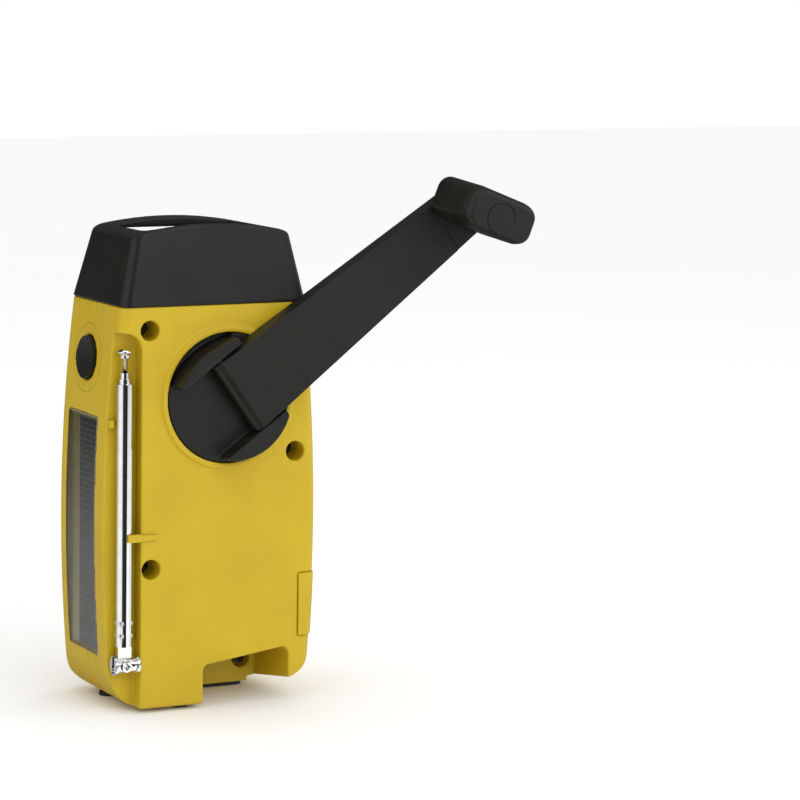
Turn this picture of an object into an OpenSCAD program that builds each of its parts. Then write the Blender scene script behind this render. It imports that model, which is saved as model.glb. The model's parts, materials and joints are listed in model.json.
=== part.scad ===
// Hand-crank emergency radio: two-part case with carry cap, fold-over crank, telescopic
// antenna, solar panel, speaker, tuning dial, torch and USB sockets.
// +Z is up, -Y is the front (speaker side), +Y is the rear (crank side), and the origin is
// the centre of the plane that the rubber feet rest on. All sizes are in millimetres.

/* [Case] */
// Greatest half width of the barrel-shaped case
case_half_w = 47; // [46.5:0.1:48]
// Height of the yellow shells, from their underside to the cap
shell_h = 167; // [166:0.5:170]
// Wall thickness of the shells
wall = 2.2; // [2:0.1:2.4]
// Height of the rubber feet below the shells
foot_h = 1.5; // [1:0.1:2.5]
// Radius of the barrel curve of the sides
barrel_r = 745; // [720:5:800]
// Width of the two rounded lower corners, seen from behind
low_corner_r = 15; // [13:0.5:16]
// Height of the two rounded lower corners
low_corner_h = 21; // [18:0.5:22]

/* [Crank] */
// Crank arm's angle above the horizontal at rest
arm_angle = 35.7; // [30:0.1:40]
// Distance from the crank's shaft to the knob's axle
knob_reach = 127.5; // [125:0.5:128]
// Radius of the round crank hub
hub_r = 27; // [26.8:0.1:27]
// Thickness of the crank arm
arm_t = 8.2; // [8:0.1:8.4]
// Length of the knob, along its axle
knob_len = 32.2; // [30:0.1:32.2]

/* [Antenna] */
// Outer radius of the largest antenna tube
tube_r = 3.5; // [3.45:0.01:3.5]
// Height of the antenna's lowest joint above the shells' underside
pivot_z = 19.1; // [18.8:0.1:19.6]

/* [Gears] */
// Teeth on the gear that the crank turns
drive_teeth = 48; // [48]
// Teeth on both pinions
pinion_teeth = 12; // [12]
// Teeth on the second gear
second_teeth = 40; // [40]

/* [Front] */
// Radius of the round speaker grille
grille_r = 26; // [24:0.5:26]
// Radius of the volume and tuning knobs
knob_r = 9.1; // [8.8:0.1:9.2]

/* [Hidden] */

// Colours
yellow = [0.82, 0.70, 0.17];
charcoal = [0.17, 0.17, 0.16];
steel = [0.78, 0.79, 0.80];
brass = [0.80, 0.65, 0.30];
copper = [0.72, 0.40, 0.22];
clear = [0.75, 0.80, 0.78, 0.5];
board_green = [0.10, 0.35, 0.20];

// Case planes and curves
rear_y = 25;
front_y = -35;
part_y = -4;
part_gap = 0.05;
barrel_z = 75;
rear_corner_r = 4.5;
front_corner_r = 8;
rear_foot_r = 2.5;
front_foot_r = 12;

// Crank and gear train, seen from behind
hub_x = -5.4;
hub_z = 128.4;
hub_base_y = 19.3;
hub_face_y = 25.4;
hub_gap = 0.3;
recess_y = hub_base_y - hub_gap;
lug_y = 34;
lug_r = 25.4;
lug_x0 = 16.6;
lug_x1 = 15.4;
thin_lug_r = 38.8;
thin_lug_z = 15.4;
hub_pocket_y = 20.9;
channel_w = 17.6;
arm_y = 26.6;
hinge_y = arm_y + arm_t / 2;
hinge_x = 4;
hinge_pin_r = 1.5;
shaft_r = 3;
axle_r = 1.5;
rotor_shaft_r = 1;
run = 0.05;
seat = 0.02;
drive_module = 0.8;
second_module = 0.6;
idler_angle = -45;
stage_1 = drive_module * (drive_teeth + pinion_teeth) / 2;
stage_2 = second_module * (second_teeth + pinion_teeth) / 2;
idler_x = hub_x + stage_1 * cos(idler_angle);
idler_z = hub_z + stage_1 * sin(idler_angle);
rotor_x = idler_x;
rotor_z = idler_z - stage_2;
plate_a_y = 0.2;
plate_b_y = 10.5;
plate_t = 1.5;
plate_x0 = -28;
plate_x1 = 31.5;
plate_z0 = 76;
plate_z1 = 150;
post_inset_x = 3;
post_inset_z = 4;
posts = [for (x = [plate_x0 + post_inset_x, plate_x1 - post_inset_x],
              z = [plate_z0 + post_inset_z, plate_z1 - post_inset_z]) [x, z]];
can_r = 17;

// Arm and knob, in the crank's own frame: x along the arm
arm_half_in = 16.9;
arm_half_out = 11.4;
arm_tip_x = knob_reach + 8;
cover_x1 = 117;
cover_t = 1.6;
knob_y = arm_y + arm_t + 0.4;
knob_a = 33;
knob_b = 17.8;
knob_corner = 6;
knob_shift = [1.2, 0];
knob_lean = [1.5, -2.1];
knob_tilt = 57;
knob_axle_r = 2.5;
cap_r = 6.25;
cap_t = 2.6;

// Case screws that enter from the rear face, and the one in the notch
screw_spots = [[29.4, 157.3], [-36.6, 104.4], [28.4, 58.6]];
notch_screw = [-28.2, 10.5];
screw_recess_r = 4.15;
screw_seat_y = 13;
screw_r = 1.3;
screw_head_r = 3;
screw_head_t = 1.9;
screw_len = 33;
notch_seat_y = -13.5;
notch_screw_len = 13;
boss_r = 6;
front_boss_r = 5;

// Notch in the base that takes the crank knob, seen from behind
notch_x0 = -34.5;
notch_x1 = 4.6;
notch_arc_0 = [-31.5, 18.55];
notch_arc_1 = [2.1, 14.33];
notch_arc_r0 = 3;
notch_arc_r1 = 2.5;
notch_slope = 8;
notch_y = -9;

// Rounded underside of the leg beside the notch: a sloping round edge
leg_centre = [-31.2, 25, 22];
leg_r = 14;
leg_slope = 9.4;

// Antenna and its groove
tube_x = 39.2;
tube_y = 21.8;
groove_x = 33;
groove_y = 17.6;
groove_top = 156.5;
groove_corner_r = 7;
second_r = 2.6;
third_r = 1.95;
rod_r = 1.25;
collar_r = 2.2;
button_r = 3.5;
tube_top = 135.7;
tip_top = 150.6;
tube_low = pivot_z + 8;
crimp_rows = [4.6, 9.8];
crimp_angle = 50;
crimp_out = tube_r + 0.45;
knuckle_r = 3.4;
flange_r = 4.1;
knuckle_end = 3.7;
tang_r = 3;
pivot_seat_y = 24.4;
hook_y0 = 25.45;
hook_y1 = 26.45;
hook_z = 72.3;
hook_end = 39.2;
tab_z = 119.1;
scoop_r = 5;
swivel_r = 1.5;
swivel_bush_r = 2.3;

// Solar window on the +X side
solar_y0 = -23.4;
solar_y1 = 8.1;
solar_z0 = 20.7;
solar_z1 = 120.5;
solar_floor = 42;

// Volume knob on the +X side and tuning knob on the -X side
volume_y = -7.4;
volume_z = 143.6;
tuning_y = -16.6;
tuning_z = 57.5;
knob_top = 1.8;

// Port recess on the -X side
port_y = 2.6;
port_half_w = 5.3;
port_z0 = 60;
port_z1 = 87;
port_floor = 41.5;
usb_z = 78.35;
micro_z = 65.6;
micro_y = port_y - 2.95;
board_y0 = -10.1;
board_y1 = -8.5;
switch_t = 2.5;

// Battery hatch at the rear edge of the -X side
hatch_x = -38.6;
hatch_y = 9.8;
hatch_z0 = 25.8;
hatch_z1 = 52.6;
hatch_proud = 0.5;
cell_y = 13.5;
cell_z = 38.5;
cell_r = 7.25;

// Front face
speaker_z = 102;
window_hw = 24;
window_z0 = 140;
window_z1 = 158;
rail_y = front_y + 7.6;
rail_z = 150;
rail_r = 0.8;
switch_x = 16;
switch_z = 52;
push_x = -18;
push_z = 52;
push_r = 4.6;
ferrite_y = 4;
ferrite_z = 156;
ferrite_r = 4;

// Foot pad: its two ends and its corner
foot_r = 4;
foot_corners = [[-26, -14], [31, -14], [12, 16]];

// Top cap
cap_top = 200;
cap_taper_z = 201;
handle_floor = 184;
handle_bar_z = 195.8;
cap_hollow_top = 180.5;
torch_z = 175;
torch_hw = 17;
torch_hh = 5.6;
torch_back_y = -21.5;
lamp_spots = [-11, 0, 11];

// Half width of the case at a height z
function half_w(z) = case_half_w - barrel_r + sqrt(pow(barrel_r, 2) - pow(z - barrel_z, 2));

// Slope of the side wall at a height z
function side_slope(z) = asin((z - barrel_z) / barrel_r);

// Points along an arc about c, from angle a0 to a1
function arc(c, r, a0, a1, n = 8) =
    [for (i = [0:n]) let (a = a0 + (a1 - a0) * i / n) c + r * [cos(a), sin(a)]];

// Everything is drawn from the shells' underside, and stands on the feet
module lift() translate([0, 0, foot_h]) children();

// A cylinder along +Y from y0 to y1, at x, z
module rod_y(x, z, y0, y1, r) {
    translate([x, y0, z]) rotate([-90, 0, 0]) cylinder(h = y1 - y0, r = r, $fn = 64);
}

// A cylinder along +X from x0 to x1, at y, z
module rod_x(y, z, x0, x1, r) {
    translate([x0, y, z]) rotate([0, 90, 0]) cylinder(h = x1 - x0, r = r, $fn = 64);
}

// A cylinder along +Z from z0 to z1, at x, y
module rod_z(x, y, z0, z1, r) {
    translate([x, y, z0]) cylinder(h = z1 - z0, r = r, $fn = 64);
}

// A box between two corners
module block(a, b) translate(a) cube(b - a);

// A drawing in x and z, made solid from y0 to y1
module slab_y(y0, y1) {
    translate([0, y1, 0]) rotate([90, 0, 0]) linear_extrude(y1 - y0) children();
}

// A drawing in y and z, made solid from x0 to x1
module slab_x(x0, x1) {
    translate([x0, 0, 0]) rotate([90, 0, 90]) linear_extrude(x1 - x0) children();
}

// ---------- case ----------

// One side of the barrel: a huge disc with rounded rims
module barrel_disc(side, inset) {
    r = barrel_r - inset;
    f = front_corner_r - inset;
    b = max(rear_corner_r - inset, 0.5);
    y0 = front_y + inset;
    y1 = rear_y - inset;
    translate([side * (case_half_w - barrel_r), 0, barrel_z])
        rotate([-90, 0, 0])
            rotate_extrude($fn = 480)
                polygon(concat([[0, y0]], arc([r - f, y0 + f], f, -90, 0, 10),
                               arc([r - b, y1 - b], b, 0, 90, 6), [[0, y1]]));
}

// Front view outline: rounded lower corners, and wide enough above them to clear the barrel
module low_corners(inset) {
    r = low_corner_r - inset;
    h = low_corner_h - inset;
    cx = half_w(low_corner_h) - low_corner_r;
    top = shell_h + 5;
    corner = [for (i = [0:14]) let (a = 90 * i / 14) [cx + r * sin(a), low_corner_h - h * cos(a)]];
    polygon(concat([[60, top], [-60, top], [-cx - r - 8, 60]],
                   [for (i = [14:-1:0]) [-corner[i][0], corner[i][1]]], corner,
                   [[cx + r + 8, 60]]));
}

// Side view outline: rounded lower edges
module low_edges(inset) {
    f = front_foot_r - inset;
    b = rear_foot_r - inset;
    y0 = front_y + inset;
    y1 = rear_y - inset;
    polygon(concat([[y1, shell_h + 5], [y0, shell_h + 5]],
                   arc([y0 + f, front_foot_r], f, 180, 270, 8),
                   arc([y1 - b, rear_foot_r], b, 270, 360, 6)));
}

// The case as one solid, set in by inset
module case_body(inset) {
    intersection() {
        barrel_disc(1, inset);
        barrel_disc(-1, inset);
        slab_y(front_y - 1, rear_y + 1) low_corners(inset);
        slab_x(-60, 60) low_edges(inset);
    }
}

// Outline of the notch, grown by g
module notch_outline(g) {
    polygon(concat([[notch_x0 - g, -5], [notch_x1 + g, -5]],
                   arc(notch_arc_1, notch_arc_r1 + g, 0, 90 - notch_slope, 5),
                   arc(notch_arc_0, notch_arc_r0 + g, 90 - notch_slope, 180, 5)));
}

// Outline of the antenna's groove: open at the bottom, rounded at its inner top corner
module groove_outline() {
    centre = [groove_x + groove_corner_r, groove_top - groove_corner_r];
    polygon(concat([[60, -5], [groove_x, -5]], arc(centre, groove_corner_r, 180, 90, 6),
                   [[60, groove_top]]));
}

// What is cut off under the leg beside the notch
module leg_cut() {
    translate(leg_centre) rotate([leg_slope, 0, 0]) difference() {
        block([-40, -60, -40], [0, 20, 0]);
        rod_y(0, 0, -61, 21, leg_r);
    }
}

// The part of space that belongs to the rear shell, grown by g
module rear_side(g) {
    difference() {
        block([-60, part_y - g, -5], [60, rear_y + 5, shell_h]);
        block([-60, part_y - 5, port_z0 - 4 + g], [-28 - g, port_y - g, port_z1 + 5 - g]);
    }
    slab_y(notch_y - wall - g, part_y + 1) notch_outline(wall + g);
    rod_y(notch_screw[0], notch_screw[1], notch_seat_y - 2.5 - g, part_y, boss_r + g);
}

// Walls behind the solar window, the side knob and the port recess, in both shells
module side_pads() {
    block([solar_floor - 1.8, solar_y0 - 2, solar_z0 - 2.2],
          [60, solar_y1 + 2, solar_z1 + 2]);
    for (side = [-1, 1]) at_knob(side) translate([0, 0, -5]) cylinder(h = 10, r = 12, $fn = 64);
    block([-60, port_y - port_half_w - 2, port_z0 - 2], [2 - port_floor, port_y + port_half_w + 2, port_z1 + 2]);
}

// Openings for the solar window, the side knob and the ports, in both shells
module side_openings() {
    block([solar_floor, solar_y0, solar_z0], [60, solar_y1, solar_z1]);
    for (side = [-1, 1]) at_knob(side) {
        translate([0, 0, -2.8]) cylinder(h = 10, r = knob_r + 0.3, $fn = 64);
        translate([0, 0, -20]) cylinder(h = 20, r = 3.3, $fn = 64);
    }
    at_knob(1) difference() {
        translate([0, 0, -0.4]) cylinder(h = 5, r = 14.5, $fn = 64);
        translate([0, 0, -0.5]) cylinder(h = 6, r = 14, $fn = 64);
    }
    block([-60, port_y - port_half_w, port_z0], [-port_floor, port_y + port_half_w, port_z1]);
    block([-60, port_y - 2.95, usb_z - 6.65], [-30, port_y + 2.95, usb_z + 6.65]);
    block([-60, micro_y - 1.7, micro_z - 3.95], [-30, micro_y + 1.7, micro_z + 3.95]);
}

// Two ears that hold the port cover's pin, one on each shell
module port_ear(y0, y1) {
    z = port_z0 + 1;
    rod_y(-case_half_w, z, y0, y1, 1);
    block([-case_half_w, y0, z - 1], [-port_floor - 1, y1, z + 1]);
}

// Frame at a side knob, volume at side 1 and tuning at side -1: local +Z points out of the case
module at_knob(side) {
    y = side > 0 ? volume_y : tuning_y;
    z = side > 0 ? volume_z : tuning_z;
    translate([side * half_w(z), y, z]) rotate([0, side * (90 - side_slope(z)), 0]) children();
}

// What fills the rear shell's hollow: towers, bosses and walls
module rear_blocks() {
    rod_y(hub_x, hub_z, recess_y - wall, 40, hub_r + 2.6);
    rod_y(hub_x, hub_z, 12.4, 40, 7.5);
    for (p = posts) rod_y(p[0], p[1], plate_b_y + plate_t, 40, 3.2);
    for (p = screw_spots) rod_y(p[0], p[1], -40, 40, boss_r);
    block([groove_x - 3.2, groove_y - 3.4, -5], [60, 40, groove_top + wall]);
    slab_y(notch_y - wall, 40) notch_outline(wall);
    rod_y(notch_screw[0], notch_screw[1], notch_seat_y - 2.5, 0, boss_r);
    side_pads();
    for (x = [-35, 17]) block([x, -1, 150.5], [x + 2, 40, 161.5]);
    leg_fill();
}

// Keeps the leg solid where its underside is cut back
module leg_fill() block([-60, -16, -5], [notch_x0, 40, 18]);

// Everything cut out of the rear shell from outside or right through it
module rear_cuts() {
    rod_y(hub_x, hub_z, recess_y, 40, hub_r + hub_gap);
    rod_y(hub_x, hub_z, 0, 40, 5 + seat);
    for (p = posts) rod_y(p[0], p[1], 0, 15.8, 1.2 + seat);
    for (p = screw_spots) {
        rod_y(p[0], p[1], screw_seat_y, 40, screw_recess_r);
        rod_y(p[0], p[1], -40, 40, 1.7);
    }
    rod_y(notch_screw[0], notch_screw[1], notch_seat_y, 0, screw_recess_r);
    rod_y(notch_screw[0], notch_screw[1], -40, 0, 1.7);
    slab_y(notch_y, 40) notch_outline(0);
    slab_y(groove_y, 40) groove_outline();
    rod_x(tube_y, pivot_z, groove_x, 60, scoop_r);
    rod_x(tube_y, pivot_z, 26.5, 40, swivel_bush_r + seat);
    leg_cut();
    block([-60, hatch_y, hatch_z0], [hatch_x, 40, hatch_z1]);
    rod_x(ferrite_y, ferrite_z, -36, 20, ferrite_r + run);
    side_openings();
}

module rear_shell() {
    color(yellow) lift() difference() {
        union() {
            intersection() {
                case_body(0);
                rear_side(0);
            }
            difference() {
                rod_y(hub_x, hub_z, rear_y - 1, 26.2, hub_r + 2.6);
                rod_y(hub_x, hub_z, rear_y - 2, 30, hub_r + hub_gap);
            }
            port_ear(port_y + port_half_w + 0.1, port_y + port_half_w + 1.5);
        }
        difference() {
            case_body(wall);
            rear_blocks();
        }
        rear_cuts();
        rod_y(-case_half_w, port_z0 + 1, 0, 10, 0.5 + seat);
    }
}

// What fills the front shell's hollow
module front_blocks() {
    for (p = screw_spots) rod_y(p[0], p[1], -60, 10, front_boss_r);
    rod_y(notch_screw[0], notch_screw[1], -60, 10, front_boss_r);
    slab_y(notch_y - 2 * wall - 0.2, 20) notch_outline(2 * wall + 0.2);
    side_pads();
    leg_fill();
    block([-window_hw - 2, -60, window_z0 - 2], [window_hw + 2, front_y + 5, window_z1 + 2]);
}

// Everything cut out of the front shell
module front_cuts() {
    for (p = screw_spots) rod_y(p[0], p[1], screw_seat_y - screw_len - 2, 10, screw_r + seat);
    rod_y(notch_screw[0], notch_screw[1], notch_seat_y - notch_screw_len - 1.5, 10,
          screw_r + seat);
    rod_y(0, speaker_z, -60, front_y + 1, grille_r + 0.1);
    rod_y(0, speaker_z, -60, front_y + 5, grille_r - 2.5);
    block([-window_hw, -60, window_z0], [window_hw, front_y + 6, window_z1]);
    rod_y(push_x, push_z, -60, 0, push_r + 0.15);
    block([switch_x - 7, -60, switch_z - 2.5], [switch_x + 7, front_y + 4, switch_z + 2.5]);
    leg_cut();
    side_openings();
}

module front_shell() {
    color(yellow) lift() difference() {
        union() {
            intersection() {
                case_body(0);
                difference() {
                    block([-60, front_y - 1, -5], [60, part_y + 20, shell_h]);
                    rear_side(part_gap);
                }
            }
            port_ear(port_y - port_half_w - 1.5, port_y - port_half_w - 0.1);
        }
        difference() {
            case_body(wall);
            front_blocks();
        }
        front_cuts();
        rod_y(-case_half_w, port_z0 + 1, -12, 0, 0.5 + seat);
    }
}

// ---------- top cap ----------

// Plan outline with its own front and rear corner radii
module plan(hw, y0, y1, f, b) {
    polygon(concat(arc([hw - f, y0 + f], f, -90, 0, 8), arc([hw - b, y1 - b], b, 0, 90, 6),
                   arc([b - hw, y1 - b], b, 90, 180, 6), arc([f - hw, y0 + f], f, 180, 270, 8)));
}

// Height of the cap's arched top at x
function cap_z(x) =
    cap_top - pow(x, 2) / 320 - 1.5 * pow(max(abs(x) - 30, 0) / 6, 2);

// Tapered block under an arch
module cap_block(top_inset = 0) {
    intersection() {
        hull() {
            translate([0, 0, shell_h]) linear_extrude(0.1) plan(41.8, -35.4, 25.5, 8.7, 5);
            translate([0, 0, cap_taper_z]) linear_extrude(0.1) plan(34, -27.3, 21, 6.5, 4);
        }
        slab_y(-60, 60)
            polygon(concat([for (x = [-42:3:42]) [x, cap_z(x) - top_inset]],
                           [[42, shell_h - 1], [-42, shell_h - 1]]));
    }
}

module cap_hollow() {
    hull() {
        translate([0, 0, shell_h - 1]) linear_extrude(1) plan(38.9, -32.4, 22.6, 6.6, 3);
        translate([0, 0, cap_hollow_top - 0.1]) linear_extrude(0.1) plan(36, -29, 20.6, 6, 3);
    }
}

module torch_opening(g) {
    block([-torch_hw - g, -40, torch_z - torch_hh - g], [torch_hw + g, -10, torch_z + torch_hh + g]);
}

module top_cap() {
    color(charcoal) lift() difference() {
        union() {
            cap_block();
            difference() {
                translate([0, 0, 163.8]) linear_extrude(4) plan(38.8, -32.6, 22.4, 6.6, 2.2);
                translate([0, 0, 163]) linear_extrude(6) plan(37.2, -31, 20.9, 5.2, 1.5);
            }
        }
        cap_hollow();
        translate([0, 0, handle_floor]) linear_extrude(30) plan(28.5, -18.5, 17.5, 6, 6);
        block([-27, -40, handle_floor], [27, -13, handle_bar_z]);
        torch_opening(0.1);
    }
}

// ---------- fasteners and feet ----------

// A cross-head screw along Y: its head's underside at y = 0, its tip at -len
module cross_screw(len, r, head_r, head_t) {
    difference() {
        union() {
            rod_y(0, 0, -len, head_t - 0.2, r);
            rod_y(0, 0, seat, head_t, head_r);
        }
        block([-head_r * 0.65, head_t - 1.1, -0.35], [head_r * 0.65, head_t + 1, 0.35]);
        block([-0.35, head_t - 1.1, -head_r * 0.65], [0.35, head_t + 1, head_r * 0.65]);
    }
}

module case_screws() {
    color(steel) lift() {
        for (p = screw_spots)
            translate([p[0], screw_seat_y, p[1]])
                cross_screw(screw_len, screw_r, screw_head_r, screw_head_t);
        translate([notch_screw[0], notch_seat_y, notch_screw[1]])
            cross_screw(notch_screw_len, screw_r, screw_head_r, screw_head_t);
    }
}

// Rubber pad under the case: a bar along the front and a leg running back beside the notch
module foot_pad() {
    color(charcoal) linear_extrude(foot_h - seat) {
        for (p = foot_corners) translate(p) circle(foot_r, $fn = 48);
        translate(foot_corners[0] - [0, foot_r])
            square([foot_corners[1][0] - foot_corners[0][0], 2 * foot_r]);
        translate([foot_corners[2][0] - foot_r, foot_corners[1][1]])
            square([2 * foot_r, foot_corners[2][1] - foot_corners[1][1]]);
    }
}

// ---------- crank and gear train ----------

// Frame at the crank's shaft: local +X along the arm
module at_crank() {
    translate([hub_x, 0, hub_z]) rotate([0, 180 + arm_angle, 0]) children();
}

// Disc whose edge is the flatter outer edge of the hub's thin lug
module thin_lug_disc(y) rod_y(0, thin_lug_z, hub_base_y, y, thin_lug_r);

module crank_hub() {
    color(charcoal) lift() at_crank() difference() {
        union() {
            rod_y(0, 0, hub_base_y, hub_face_y, hub_r);
            intersection() {
                rod_y(0, 0, hub_base_y, lug_y, lug_r);
                block([-lug_x0, hub_base_y, channel_w], [lug_x1, lug_y, 30]);
            }
            intersection() {
                thin_lug_disc(lug_y);
                block([-lug_x0, hub_base_y, -30], [lug_x1, lug_y, -channel_w]);
            }
        }
        intersection() {
            difference() {
                rod_y(0, 0, hub_pocket_y, 40, hub_r + 1);
                thin_lug_disc(41);
            }
            block([-lug_x0 - 1, hub_pocket_y, -30], [lug_x1 + 1, 40, -channel_w]);
        }
        rod_y(0, 0, 10, 23.5, shaft_r + seat);
        rod_z(hinge_x, hinge_y, -23, 23, hinge_pin_r + seat);
    }
}

module arm_hinge_pin() {
    color(steel) lift() at_crank() rod_z(hinge_x, hinge_y, -20.4, 22, hinge_pin_r);
}

module crank_shaft() {
    color(steel) lift() {
        rod_y(hub_x, hub_z, plate_a_y + plate_t + 0.2, 23.4, shaft_r);
        rod_y(hub_x, hub_z, -1, plate_a_y + plate_t + 0.3, 2);
    }
}

module crank_bush() {
    color(brass) lift() difference() {
        rod_y(hub_x, hub_z, 12.5, recess_y, 5);
        rod_y(hub_x, hub_z, 12, 20, shaft_r + run);
    }
}

module shaft_clip() {
    color(steel) lift() difference() {
        rod_y(hub_x, hub_z, 9.6, 10.4, 5.2);
        rod_y(hub_x, hub_z, 9, 11, shaft_r + seat);
        block([hub_x - 1.2, 9, hub_z], [hub_x + 1.2, 11, hub_z + 10]);
    }
}

// Angle that the involute has turned at radius r, from base circle rb
function involute(rb, r) = let (t = sqrt(max(pow(r / rb, 2) - 1, 0))) t * 180 / PI - atan(t);

// One flank of a tooth: radius and half angle pairs, from root to tip
module gear(teeth, m, h, bore, slack = 0.06) {
    rp = m * teeth / 2;
    rb = rp * cos(25);
    root = rp - 1.25 * m;
    tip = rp + m;
    half = 90 / teeth - slack * 90 / (PI * rp) + involute(rb, rp);
    steps = 5;
    flank = [for (i = [0:steps]) let (r = max(rb, root) + (tip - max(rb, root)) * i / steps)
             [r, half - involute(rb, r)]];
    difference() {
        linear_extrude(h)
            polygon([for (k = [0:teeth - 1]) let (a = 360 * k / teeth)
                     each concat([root * [cos(a - flank[0][1]), sin(a - flank[0][1])]],
                                 [for (i = [0:steps]) let (f = flank[i])
                                  f[0] * [cos(a - f[1]), sin(a - f[1])]],
                                 [for (i = [steps:-1:0]) let (f = flank[i])
                                  f[0] * [cos(a + f[1]), sin(a + f[1])]],
                                 [root * [cos(a + flank[0][1]), sin(a + flank[0][1])]])]);
        translate([0, 0, -1]) cylinder(h = h + 2, r = bore, $fn = 64);
    }
}

// A gear about Y whose first tooth points at the angle a, seen with +X right and +Z up
module gear_y(x, y, z, a, teeth, m, h, bore) {
    translate([x, y, z]) rotate([-90, 0, 0]) rotate([0, 0, -a]) gear(teeth, m, h, bore);
}

module drive_gear() {
    color(brass) lift() difference() {
        gear_y(hub_x, 6.5, hub_z, idler_angle, drive_teeth, drive_module, 3, shaft_r + seat);
        for (i = [0:5]) {
            a = 60 * i;
            rod_y(hub_x + 11 * cos(a), hub_z + 11 * sin(a), 0, 20, 3.6);
        }
    }
}

module idler_gear() {
    tooth_gap = 180 / pinion_teeth;
    color("ivory") lift() {
        gear_y(idler_x, 5.1, idler_z, idler_angle + 180 + tooth_gap, pinion_teeth, drive_module,
               4.7, axle_r + run);
        gear_y(idler_x, 2.8, idler_z, -90, second_teeth, second_module, 2.4, axle_r + run);
    }
}

module idler_axle() {
    color(steel) lift() rod_y(idler_x, idler_z, 0.3, 11.9, axle_r);
}

// Dynamo shaft with its pinion cut on it
module rotor_shaft() {
    tooth_gap = 180 / pinion_teeth;
    color(steel) lift() {
        rod_y(rotor_x, rotor_z, -7.7, 11.9, rotor_shaft_r);
        gear_y(rotor_x, 2.2, rotor_z, 90 + tooth_gap, pinion_teeth, second_module, 3.4,
               rotor_shaft_r - 0.1);
    }
}

module rotor_magnet() {
    color("dimgray") lift() difference() {
        rod_y(rotor_x, rotor_z, -6, -1.3, 9);
        rod_y(rotor_x, rotor_z, -8, 1, rotor_shaft_r + seat);
    }
}

module stator_coils() {
    color(copper) lift() for (i = [0:7]) {
        a = 45 * i;
        translate([rotor_x, -6, rotor_z]) rotate([0, a, 0]) translate([12.8, 0, 0])
            rotate([-90, 0, 0]) cylinder(h = 4.7, r = 3, $fn = 48);
    }
}

module dynamo_can() {
    color(steel) lift() difference() {
        rod_y(rotor_x, rotor_z, -7.9, 0.1, can_r);
        rod_y(rotor_x, rotor_z, -6.9, -0.9, can_r - 1);
        rod_y(rotor_x, rotor_z, -9, 1, rotor_shaft_r + run);
    }
}

// One of the two flat plates that carry the gears, with a bore for each shaft
module gearbox_plate(y, crank_bore) {
    difference() {
        block([plate_x0, y, plate_z0], [plate_x1, y + plate_t, plate_z1]);
        rod_y(hub_x, hub_z, y - 1, y + 3, crank_bore);
        rod_y(idler_x, idler_z, y - 1, y + 3, axle_r + seat);
        rod_y(rotor_x, rotor_z, y - 1, y + 3, rotor_shaft_r + run);
        for (p = posts) rod_y(p[0], p[1], y - 1, y + 3, 1.3);
    }
}

// Front plate with its riveted spacers
module gearbox_front_plate() color(steel) lift() {
    gearbox_plate(plate_a_y, 2 + run);
    for (p = posts) difference() {
        rod_y(p[0], p[1], plate_a_y + plate_t - 0.2, plate_b_y, 2.5);
        rod_y(p[0], p[1], 0, 12, 1.3);
    }
}

module gearbox_rear_plate() {
    color(steel) lift() gearbox_plate(plate_b_y, shaft_r + run);
}

module gearbox_screws() {
    color(steel) lift() for (p = posts)
        translate([p[0], plate_a_y, p[1]]) mirror([0, 1, 0]) cross_screw(15.2, 1.2, 2.4, 1.5);
}

// Half width of the arm at a distance x from the shaft
function arm_half(x) = arm_half_in + (arm_half_out - arm_half_in) * x / 120;

// Outline of the arm between x0 and x1, less a margin
module arm_outline(x0, x1, margin = 0) {
    polygon([[x0, arm_half(x0) - margin], [x1, arm_half(x1) - margin],
             [x1, margin - arm_half(x1)], [x0, margin - arm_half(x0)]]);
}

// The arm's full thickness from its hinge barrel to x1
module arm_bar(x1) {
    slab_y(arm_y, arm_y + arm_t) arm_outline(hinge_x, x1);
    rod_z(hinge_x, hinge_y, -arm_half(hinge_x), arm_half(hinge_x), arm_t / 2);
}

module crank_arm() {
    top = arm_y + arm_t;
    color(charcoal) lift() at_crank() difference() {
        union() {
            arm_bar(arm_tip_x - 5);
            slab_y(arm_y, top) translate([arm_tip_x - 10, 0]) circle(arm_half_out - 0.6, $fn = 64);
        }
        slab_y(top - cover_t - 0.05, top + 1) arm_outline(-5, cover_x1, -1);
        slab_y(arm_y + 1.6, top + 1) arm_outline(hinge_x + 5, cover_x1 - 4, 2.2);
        rod_z(hinge_x, hinge_y, -30, 30, hinge_pin_r + run);
        rod_y(knob_reach, 0, arm_y + 1, 40, knob_axle_r + seat);
    }
}

module arm_cover() {
    top = arm_y + arm_t;
    color(charcoal) lift() at_crank() intersection() {
        arm_bar(cover_x1 - 0.1);
        slab_y(top - cover_t, top + 1) arm_outline(-5, cover_x1, -1);
    }
}

module knob_axle() {
    color(steel) lift() at_crank() {
        rod_y(knob_reach, 0, arm_y + 1.1, knob_y + knob_len - 5, knob_axle_r);
        rod_y(knob_reach, 0, knob_y + knob_len - 5.2, knob_y + knob_len - 3.4, 4.6);
    }
}

// The knob's oblong section
module knob_section(a, b, r) {
    polygon(concat(arc([a / 2 - r, b / 2 - r], r, 0, 90, 6),
                   arc([r - a / 2, b / 2 - r], r, 90, 180, 6),
                   arc([r - a / 2, r - b / 2], r, 180, 270, 6),
                   arc([a / 2 - r, r - b / 2], r, 270, 360, 6)));
}

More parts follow.
